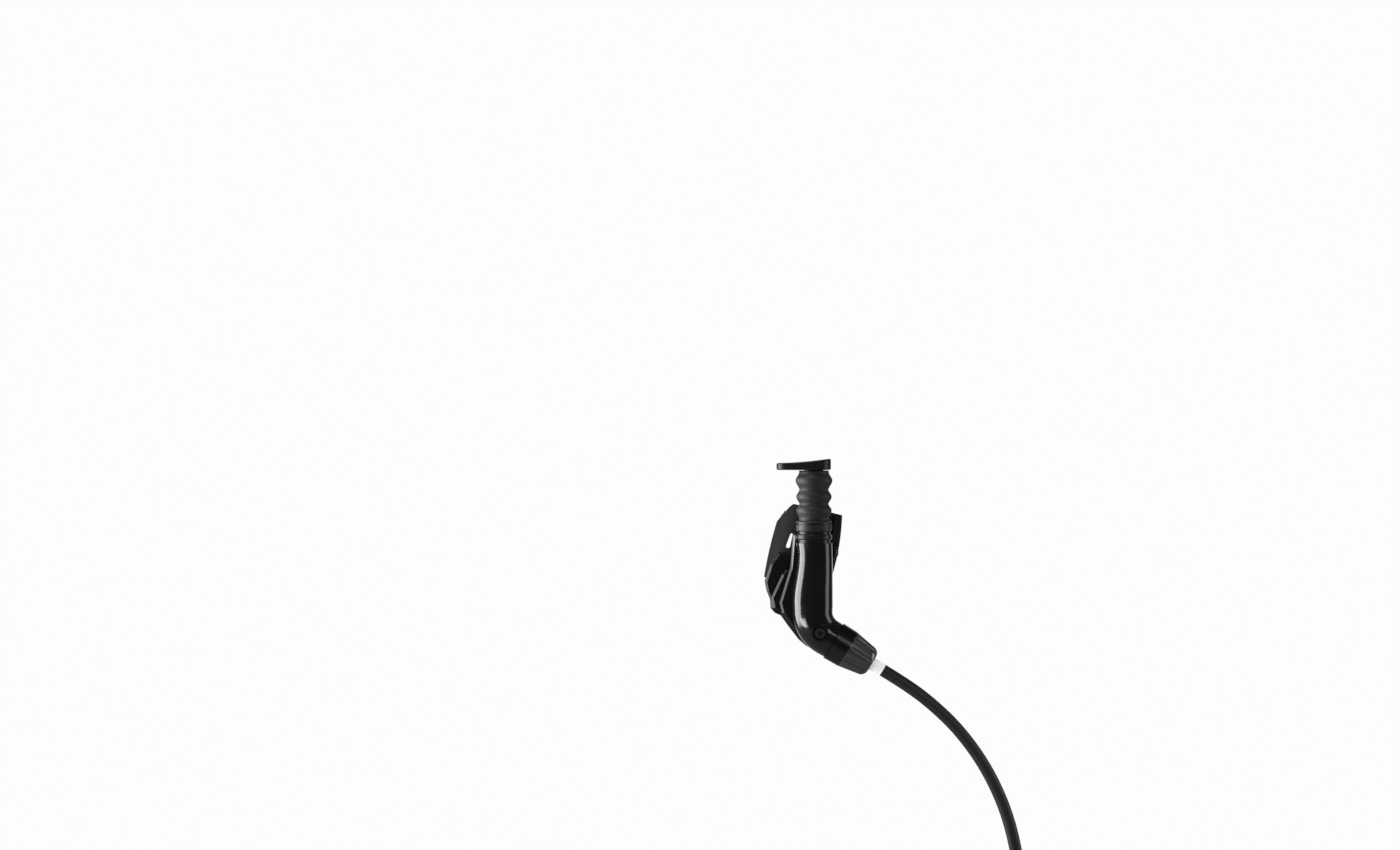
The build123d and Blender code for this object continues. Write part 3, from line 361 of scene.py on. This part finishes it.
def moulded_nylon():
    """Glass-filled nylon from a lightly textured tool, as thumb pads are: dark, half matte, with the faint
    fleck of its fibres, about 0.45 mm."""
    material, tree = blank("glass_filled_nylon")
    place = spot_on(tree)
    fleck = add_node(tree, "ShaderNodeTexVoronoi", Vector=place, Scale=2200.0).outputs["Distance"]
    cloud = noise(tree, place, 300.0, 4.0)
    surface(tree, Base_Color=tones(tree, cloud, "0e0b0c", "161213"), IOR=1.53, Specular_IOR_Level=0.25,
            Roughness=between(tree, cloud, 0.24, 0.34), Normal=relief(tree, fleck, 0.08, 0.0001))
    return material


def anodised_gland():
    """Turned aluminium, black anodised: the oxide keeps a little of the metal's glint, and the tool's feed
    leaves rings square to the axis, 0.3 mm apart."""
    material, tree = blank("black_anodised_gland")
    place = spot_on(tree)
    cloud = noise(tree, place, 240.0, 3.0)
    surface(tree, Base_Color=linear("191617"), Metallic=0.35, Roughness=between(tree, cloud, 0.24, 0.32),
            Normal=relief(tree, lathe_rings(tree, place, 0.4), 0.05, 0.00008))
    return material


def brushed_knob():
    """Turned aluminium, black anodised. The shoulder keeps the deep black and a clear shine; the cone has
    been brushed round its axis, which thins the colour to a dark grey with a broad, soft highlight. The brush
    leaves lines about 0.3 mm apart."""
    material, tree = blank("black_anodised_knob")
    place = spot_on(tree)
    along = vectors(tree, "DOT_PRODUCT", vectors(tree, "SUBTRACT", place, tuple(ADJUSTER)), tuple(ALONG))
    cone = add_node(tree, "ShaderNodeMapRange", Value=along, From_Min=KNOB_SHOULDER,
                    From_Max=KNOB_SHOULDER + FINE_LINE).outputs["Result"]
    line = numbers(tree, "MULTIPLY", along, 1 / FINE_LINE)
    brush = add_node(tree, "ShaderNodeTexNoise", {"noise_dimensions": "1D"}, W=line,
                     Detail=2.0).outputs["Fac"]
    cloud = noise(tree, place, 240.0, 3.0)
    tone = add_node(tree, "ShaderNodeMix", {"data_type": "RGBA"}, Factor=cone, _6=linear("4a4646"),
                    _7=linear("827e7c")).outputs[2]
    rough = mixed(tree, cone, between(tree, cloud, 0.22, 0.3), between(tree, brush, 0.24, 0.36))
    surface(tree, Base_Color=tone, Metallic=1.0, Roughness=rough, Normal=relief(tree, brush, 0.04, 0.00008))
    return material


def blasted_alloy():
    """Aluminium, bead blasted and clear anodised: nearly white, its gloss spread wide by pits of about
    0.1 mm, drawn three times as coarse so that they show. The oxide scatters light as a matt surface does, so
    it isn't all metal."""
    material, tree = blank("bead_blasted_aluminium")
    pits = noise(tree, spot_on(tree), 3300.0, 2.0)
    surface(tree, Base_Color=tones(tree, pits, "eeeeef", "f8f8f8"), Metallic=0.2,
            Roughness=between(tree, pits, 0.4, 0.52), Normal=relief(tree, pits, 0.05, 0.0001))
    return material


def turned_bright(name, code, rough_low, rough_high):
    """Bare metal straight from the lathe: bright, with rings 0.3 mm apart that stretch its highlights."""
    material, tree = blank(name)
    place = spot_on(tree)
    cloud = noise(tree, place, 500.0, 3.0)
    surface(tree, Base_Color=linear(code), Metallic=1.0,
            Roughness=between(tree, cloud, rough_low, rough_high),
            Normal=relief(tree, lathe_rings(tree, place, 0.3), 0.06, 0.00005))
    return material


def extruded_hose():
    """Nylon hose, extruded: a smooth, half matte black with faint lengthwise die lines, read along the hose's
    own UV map, and slow waves of gloss."""
    material, tree = blank("extruded_nylon_hose")
    uv = add_node(tree, "ShaderNodeTexCoord").outputs["UV"]
    lines = add_node(tree, "ShaderNodeMapping", Vector=uv, Scale=(3.0, 60.0, 1.0)).outputs["Vector"]
    streak = noise(tree, lines, 1.0, 3.0)
    cloud = noise(tree, spot_on(tree), 120.0, 3.0)
    surface(tree, Base_Color=tones(tree, cloud, "141213", "1e1b1b"), IOR=1.53,
            Roughness=between(tree, streak, 0.36, 0.5), Normal=relief(tree, streak, 0.05, 0.0001))
    return material


def plain_moulding(name, low, high, rough_low, rough_high, scale):
    """A small moulded or pressed piece: one colour with a slight cloud in it and in its gloss."""
    material, tree = blank(name)
    cloud = noise(tree, spot_on(tree), scale, 4.0)
    surface(tree, Base_Color=tones(tree, cloud, low, high),
            Roughness=between(tree, cloud, rough_low, rough_high),
            Normal=relief(tree, cloud, 0.06, 0.0001))
    return material


def finishes():
    """Every finish by the record's slot name, made once."""
    if "finishes" not in frame:
        frame["finishes"] = {
            "body_paint": painted_casting(),
            "boot_rubber": moulded_boot(),
            "button_plastic": moulded_nylon(),
            "collar_plastic": plain_moulding("moulded_acetal_black", "141112", "1c1819", 0.4, 0.5, 400.0),
            "gland_alloy": anodised_gland(),
            "knob_alloy": brushed_knob(),
            "dark_steel": plain_moulding("black_oxide_steel", "161314", "211d1e", 0.3, 0.45, 700.0),
            "steel": turned_bright("ground_steel", "b9b9b8", 0.22, 0.34),
            "bare_alloy": turned_bright("turned_aluminium", "cfd0d1", 0.2, 0.32),
            "bright_alloy": blasted_alloy(),
            "acetal": plain_moulding("natural_acetal", "cfccc2", "dedbd2", 0.35, 0.5, 300.0),
            "seal_rubber": plain_moulding("nitrile_seal_rubber", "121111", "1b1919", 0.4, 0.55, 900.0),
            "hose_nylon": extruded_hose(),
            "tie_nylon": plain_moulding("nylon_cable_tie", "161414", "1f1d1d", 0.35, 0.5, 500.0),
        }
    return frame["finishes"]


# Stage

def add_lamps(scene, settings):
    """The area lamps, each turned to the object and hidden from the camera."""
    middle = Vector((0.0, BARREL_Y, 0.0))
    for name, place, size, spread, power in LAMPS:
        lamp = bpy.data.lights.new(name, "AREA")
        lamp.shape = "RECTANGLE"
        lamp.size, lamp.size_y = size
        lamp.energy = getattr(settings, power)
        lamp.spread = radians(spread)
        holder = bpy.data.objects.new(name, lamp)
        holder.location = place
        holder.visible_camera = False
        holder.rotation_euler = (middle - Vector(place)).to_track_quat("-Z", "Y").to_euler()
        scene.collection.objects.link(holder)


def add_world(scene, settings):
    """The world: pale to the camera everywhere and to matt surfaces, while what shines sees a dark room
    between the softboxes that turns pale only straight behind the object."""
    world = bpy.data.worlds.new("studio")
    world.use_nodes = True
    tree = world.node_tree
    tree.nodes.clear()
    way = add_node(tree, "ShaderNodeTexCoord").outputs["Generated"]
    back = add_node(tree, "ShaderNodeSeparateXYZ", Vector=way).outputs["Y"]
    fade = soft_step(tree, back, WALL_FROM, 1.0, ROOM_GLOW, 1.0)
    ray = add_node(tree, "ShaderNodeLightPath")
    shiny = numbers(tree, "MAXIMUM", ray.outputs["Is Glossy Ray"], ray.outputs["Is Transmission Ray"])
    lit = mixed(tree, shiny, MATT_GLOW, fade)
    seen = mixed(tree, ray.outputs["Is Camera Ray"], lit, 1.0)
    pale = add_node(tree, "ShaderNodeBackground", Color=tuple(settings.backdrop) + (1.0,), Strength=seen)
    add_node(tree, "ShaderNodeOutputWorld", Surface=pale.outputs[0])
    scene.world = world


def add_floor(scene):
    """The floor: a pale paper disc just under the coil that fades into the backdrop towards its rim."""
    low = CADSIZE[0].z - FLOOR_DROP
    profile = np.stack((FLOOR_RINGS, np.zeros_like(FLOOR_RINGS)), -1)
    disc = turned(profile, around=96, foot=(FLOOR_X, BARREL_Y, low), axis=(0, 0, 1), across=(1, 0, 0))
    floor = bpy.data.objects.new("floor", grid_mesh("floor", disc))
    scene.collection.objects.link(floor)
    material, tree = blank("pale_paper_floor")
    spot = spot_on(tree)
    centred = add_node(tree, "ShaderNodeMapping", Vector=spot, Location=(-FLOOR_X, -BARREL_Y, -low))
    rim = soft_step(tree, vectors(tree, "LENGTH", centred.outputs[0]), *FLOOR_FADE)
    tone = tones(tree, noise(tree, spot, 60.0, 4.0), "dcdcdb", "e2e2e1")
    # Painted shade in reflections: glossy rays see the paper's colour cut to a small share, so the floor
    # looks dark wherever shiny parts mirror it
    glossy = add_node(tree, "ShaderNodeLightPath").outputs["Is Glossy Ray"]
    painted_reflection_shade = add_node(tree, "ShaderNodeMix", {"data_type": "RGBA", "blend_type": "MULTIPLY"}, Factor=glossy,
                   _6=tone, _7=(FLOOR_REFLECTION_SHADE, FLOOR_REFLECTION_SHADE, FLOOR_REFLECTION_SHADE, 1.0)).outputs[2]
    paper = add_node(tree, "ShaderNodeBsdfPrincipled", Base_Color=painted_reflection_shade, Roughness=0.9)
    clear = add_node(tree, "ShaderNodeBsdfTransparent")
    finish_with(tree, add_node(tree, "ShaderNodeMixShader", Fac=rim, _1=paper.outputs[0],
                               _2=clear.outputs[0]))
    floor.data.materials.append(material)


# Settings

class StageSettings(bpy.types.PropertyGroup):
    """Camera and light."""
    left_light: FloatProperty(
        name="Left softbox", description="Power of the large softbox on the left", default=30.0,
        subtype="POWER", unit="POWER")
    right_light: FloatProperty(
        name="Right softbox", description="Power of the weaker softbox on the right", default=3.4,
        subtype="POWER", unit="POWER")
    key_light: FloatProperty(
        name="Key lamp", description="Power of the small lamp in front, to the right and above", default=0.7,
        subtype="POWER", unit="POWER")
    low_light: FloatProperty(
        name="Low card", description="Power of the small card low on the left", default=0.035,
        subtype="POWER", unit="POWER")
    top_light: FloatProperty(
        name="Top lamp", description="Power of the weak lamp overhead", default=4.0, subtype="POWER",
        unit="POWER")
    lens: FloatProperty(
        name="Lens", description="Focal length of the camera", default=93.5, subtype="DISTANCE_CAMERA")
    backdrop: FloatVectorProperty(
        name="Backdrop", description="Colour that the camera sees behind the object",
        default=(0.98, 0.98, 0.98), subtype="COLOR", min=0.0, max=1.0)


class HoseSettings(bpy.types.PropertyGroup):
    """The hose and its coil."""
    layers: IntProperty(name="Layers", description="Layers of turns in the coil", default=3, min=1)
    rows: IntProperty(name="Rows", description="Turns side by side in a layer", default=3, min=1)
    pitch: FloatProperty(
        name="Pitch", description="From one turn to its neighbour", default=0.00572, subtype="DISTANCE",
        unit="LENGTH")
    mean_radius: FloatProperty(
        name="Mean radius", description="Radius of the middle layer", default=0.031, subtype="DISTANCE",
        unit="LENGTH")


class BootSettings(bpy.types.PropertyGroup):
    """The bellows boot and the return spring."""
    wall: FloatProperty(
        name="Boot wall", description="Thickness of the rubber", default=0.0009, subtype="DISTANCE",
        unit="LENGTH")
    ring: FloatProperty(
        name="Ring radius", description="Outer radius of the two lower rings", default=0.0078,
        subtype="DISTANCE", unit="LENGTH")
    top_ring: FloatProperty(
        name="Top ring radius", description="Outer radius of the top ring", default=0.0081,
        subtype="DISTANCE", unit="LENGTH")
    valley: FloatProperty(
        name="Valley radius", description="Outer radius between two rings", default=0.0064,
        subtype="DISTANCE", unit="LENGTH")
    wire: FloatProperty(
        name="Spring wire", description="Diameter of the spring's wire", default=0.0009, subtype="DISTANCE",
        unit="LENGTH")
    turns: FloatProperty(name="Spring turns", description="Turns of the spring", default=5.5)


class SealSettings(bpy.types.PropertyGroup):
    """The ring between the elbow and the knob."""
    radius: FloatProperty(
        name="Radius", description="Outer radius of the ring", default=0.0081, subtype="DISTANCE",
        unit="LENGTH")
    width: FloatProperty(
        name="Width", description="From the ring's bore to its rim", default=0.0012, subtype="DISTANCE",
        unit="LENGTH")
    play: FloatProperty(
        name="Play", description="Room along the axis that the ring leaves in the gap", default=0.0001,
        subtype="DISTANCE", unit="LENGTH")


# Operators

class REMOTE_OT_stage(bpy.types.Operator):
    """Makes the camera, the floor, the softboxes and the world"""
    bl_idname = "remote.stage"
    bl_label = "Stage"

    def execute(self, context):
        settings = context.scene.remote_stage
        scene = context.scene
        scene.view_settings.view_transform = "Standard"
        lens = bpy.data.cameras.new("camera")
        lens.lens = settings.lens
        lens.sensor_width = 36.0
        lens.clip_start, lens.clip_end = 0.05, 30.0
        camera = bpy.data.objects.new("camera", lens)
        camera.location = CAMERA
        camera.rotation_euler = (pi / 2, 0.0, 0.0)
        scene.collection.objects.link(camera)
        scene.camera = camera
        add_lamps(scene, settings)
        add_world(scene, settings)
        add_floor(scene)
        return {"FINISHED"}


class REMOTE_OT_hose(bpy.types.Operator):
    """Makes the hose: down from the adjuster in one bow, then wound into a neat coil"""
    bl_idname = "remote.hose"
    bl_label = "Hose"

    def execute(self, context):
        settings = context.scene.remote_hose
        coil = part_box("hose_coil")
        middle = (coil[0] + coil[1]) / 2
        pitch, layers, rows = settings.pitch, settings.layers, settings.rows
        outer = settings.mean_radius + (layers - 1) / 2 * pitch
        route = [HOSE_EXIT, HOSE_EXIT + ALONG * HOSE_LEAD] + [(x, BARREL_Y, z) for x, z in HOSE_ROUTE]
        # Coil: point number n stands at an angle of n sixteenths of a turn, clockwise seen from the front.
        # The radius drops by one pitch where a layer is full, half of it before and half after, and the depth
        # swings from one side to the other. The last quarter turn comes one pitch out and lies in front of
        # the front row.
        full = layers * rows
        turn = np.arange(full * COIL_STEPS + int(LAST_TURN * COIL_STEPS) + 1) / COIL_STEPS
        layer = np.clip(np.floor(turn / rows), 0, layers - 1)
        part = turn - layer * rows
        swing = np.where(layer % 2 == 0, 0.5 - part / rows, part / rows - 0.5)
        leaving = np.clip((part - (rows - LAYER_CHANGE)) / LAYER_CHANGE, 0, 1) / 2
        entering = np.clip((LAYER_CHANGE - part) / LAYER_CHANGE, 0, 1) / 2 * (layer > 0)
        tail = np.clip((turn - full) / LAST_TURN, 0, 1)
        # The spline cuts the corners between its points, so they stand a little further out than the hose
        radius = (outer - (layer + leaving - entering) * pitch + tail * pitch) / cos(pi / COIL_STEPS)
        depth = np.where(turn > full, -rows / 2 - tail, rows * swing) * pitch
        angle = 2 * pi * turn
        ring = np.stack((middle.x + radius * np.cos(angle), middle.y + depth,
                         middle.z - radius * np.sin(angle)), -1)
        points = np.concatenate((np.array(route, float), ring[1:]))
        curve = bpy.data.curves.new("hose", "CURVE")
        curve.dimensions = "3D"
        line = curve.splines.new("NURBS")
        line.points.add(len(points) - 1)
        line.points.foreach_set("co", np.c_[points, np.ones(len(points))].astype(np.float32).ravel())
        line.order_u = 3
        line.use_endpoint_u = True
        curve.resolution_u = 6
        curve.bevel_depth = HOSE_DIAMETER / 2
        curve.bevel_resolution = 7
        curve.use_fill_caps = True
        hose = bpy.data.objects.new("hydraulic_hose", curve)
        context.scene.collection.objects.link(hose)
        hose.data.materials.append(finishes()["hose_nylon"])
        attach(hose, "casting")
        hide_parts("hose", "hose_coil")
        return {"FINISHED"}


class REMOTE_OT_boot(bpy.types.Operator):
    """Makes the bellows boot"""
    bl_idname = "remote.boot"
    bl_label = "Boot"

    def execute(self, context):
        settings = context.scene.remote_boot
        low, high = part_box("boot")
        # The outer wall passes through these radii at these heights, and between two of them the radius
        # follows half a cosine wave, rounder at the rings than in the valleys.
        end, roundness = 0.0066, 0.8
        heights = np.array((0.0114, 0.0147, 0.0176, 0.0208, 0.0239, 0.0280, high.z - 0.0010))
        radii = np.array((end, settings.ring, settings.valley, settings.ring, settings.valley,
                          settings.top_ring, end))
        z = np.linspace(heights[0], heights[-1], 150)
        leg = np.clip(np.searchsorted(heights, z, side="right") - 1, 0, len(heights) - 2)
        share = (z - heights[leg]) / (heights[leg + 1] - heights[leg])
        rising = radii[leg + 1] > radii[leg]
        wave = (1 - np.cos(pi * share)) / 2
        wave = np.where(rising, wave ** roundness, 1 - (1 - wave) ** roundness)
        outer = np.stack((radii[leg] + (radii[leg + 1] - radii[leg]) * wave, z), -1)
        # The inner wall comes back down to the foot's bore. The lip and the foot are drawn point by point, as
        # radius and height.
        inner = outer[::-1] - (settings.wall, 0)
        bore_end = 0.0128
        lip = np.array(((0.00655, high.z - 0.0006), (0.0065, high.z - 0.00005), (0.0062, high.z),
                        (0.0058, high.z - 0.00005)))
        foot = np.array(((0.0057, 0.0122), (0.0057, low.z + 0.0001), (0.0060, low.z),
                         (0.0065, low.z + 0.0001), (end, 0.0108)))
        profile = np.concatenate((outer, lip, inner[inner[:, 1] > bore_end], foot))
        points = turned(profile, around=128, foot=(BARREL_X, BARREL_Y, 0), axis=(0, 0, 1), across=(1, 0, 0))
        boot = put("bellows_boot", grid_mesh("bellows_boot", points, closed_along=True), "casting",
                   "boot_rubber")
        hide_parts("boot")
        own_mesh(boot)
        return {"FINISHED"}


class REMOTE_OT_spring(bpy.types.Operator):
    """Makes the return spring under the piston"""
    bl_idname = "remote.spring"
    bl_label = "Return spring"

    def execute(self, context):
        settings = context.scene.remote_boot
        low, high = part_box("return_spring")
        wire = settings.wire / 2
        # A round wire carried along a helix: centre at the mean radius, rising evenly with the angle.
        steps_in_turn, sides = 40, 14
        steps = int(steps_in_turn * settings.turns)
        angle = np.linspace(0, 2 * pi * settings.turns, steps)
        mean = (high.x - low.x) / 2 - wire
        across = np.stack((np.cos(angle), np.sin(angle), np.zeros_like(angle)), -1)
        centre = np.array((BARREL_X, BARREL_Y, 0)) + mean * across
        centre[:, 2] = np.linspace(low.z + wire, high.z - wire, steps)
        round_wire = np.linspace(0, 2 * pi, sides, endpoint=False)
        up = np.array((0.0, 0.0, 1.0))
        points = centre[:, None] + wire * (
            np.cos(round_wire)[None, :, None] * across[:, None] + np.sin(round_wire)[None, :, None] * up)
        spring = put("coil_spring", grid_mesh("coil_spring", points[:, ::-1]), "casting", "steel")
        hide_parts("return_spring")
        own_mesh(spring)
        return {"FINISHED"}


class REMOTE_OT_dust_seal(bpy.types.Operator):
    """Makes the thin rubber ring that closes the gap between the elbow and the knob"""
    bl_idname = "remote.dust_seal"
    bl_label = "Dust seal"

    def execute(self, context):
        settings = context.scene.remote_seal
        # A flat ring with rounded corners: a superellipse of power 4 in the plane of the axis and the radius,
        # carried round the axis. It stands in the gap and touches neither face.
        angle = np.linspace(0, 2 * pi, 16, endpoint=False)
        circle = np.stack((np.cos(angle), np.sin(angle)), -1)
        corner = np.sign(circle) * np.sqrt(np.abs(circle))
        half = np.array((settings.width, KNOB_GAP - settings.play)) / 2
        profile = np.array((settings.radius - half[0], -KNOB_GAP / 2)) + corner * half
        points = turned(profile, around=96, foot=ADJUSTER, axis=ALONG, across=(0, 1, 0))
        put("knob_dust_seal", grid_mesh("knob_dust_seal", points, closed_along=True), "casting",
            "seal_rubber")
        return {"FINISHED"}


class REMOTE_OT_finishes(bpy.types.Operator):
    """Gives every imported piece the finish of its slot"""
    bl_idname = "remote.finishes"
    bl_label = "Finishes"

    def execute(self, context):
        made = finishes()
        for row in frame["record"]["subparts"]:
            piece = frame["nodes"][row["node"]]
            if not piece.material_slots:
                piece.data.materials.append(None)
            for slot in piece.material_slots:
                slot.link = "OBJECT"
                slot.material = made[row["material_slot"]]
        return {"FINISHED"}


class REMOTE_PT_panel(bpy.types.Panel):
    """Shows the settings of the stage, the hose, the boot and the seal with their buttons, and the finishes
    button
    """
    bl_idname = "REMOTE_PT_panel"
    bl_label = "Dropper Post Remote"
    bl_space_type = "VIEW_3D"
    bl_region_type = "UI"
    bl_category = "Remote"

    def draw(self, context):
        for group, operators in (
            (context.scene.remote_stage, ("remote.stage",)),
            (context.scene.remote_hose, ("remote.hose",)),
            (context.scene.remote_boot, ("remote.boot", "remote.spring")),
            (context.scene.remote_seal, ("remote.dust_seal",)),
        ):
            box = self.layout.box()
            for name in group.bl_rna.properties.keys():
                if name not in ("rna_type", "name"):
                    box.prop(group, name)
            for operator in operators:
                box.operator(operator)
        self.layout.operator("remote.finishes")


CLASSES = (
    StageSettings, HoseSettings, BootSettings, SealSettings, REMOTE_OT_stage, REMOTE_OT_hose, REMOTE_OT_boot,
    REMOTE_OT_spring, REMOTE_OT_dust_seal, REMOTE_OT_finishes, REMOTE_PT_panel,
)
GROUPS = {
    "remote_stage": StageSettings, "remote_hose": HoseSettings, "remote_boot": BootSettings,
    "remote_seal": SealSettings,
}


def register():
    for cls in CLASSES:
        bpy.utils.register_class(cls)
    for name, group in GROUPS.items():
        setattr(bpy.types.Scene, name, PointerProperty(type=group))


def unregister():
    for name in GROUPS:
        delattr(bpy.types.Scene, name)
    for cls in reversed(CLASSES):
        bpy.utils.unregister_class(cls)


def main():
    register()
    bpy.ops.remote.stage()
    bpy.ops.remote.hose()
    bpy.ops.remote.boot()
    bpy.ops.remote.spring()
    bpy.ops.remote.dust_seal()
    bpy.ops.remote.finishes()


if __name__ == "__main__":
    main()
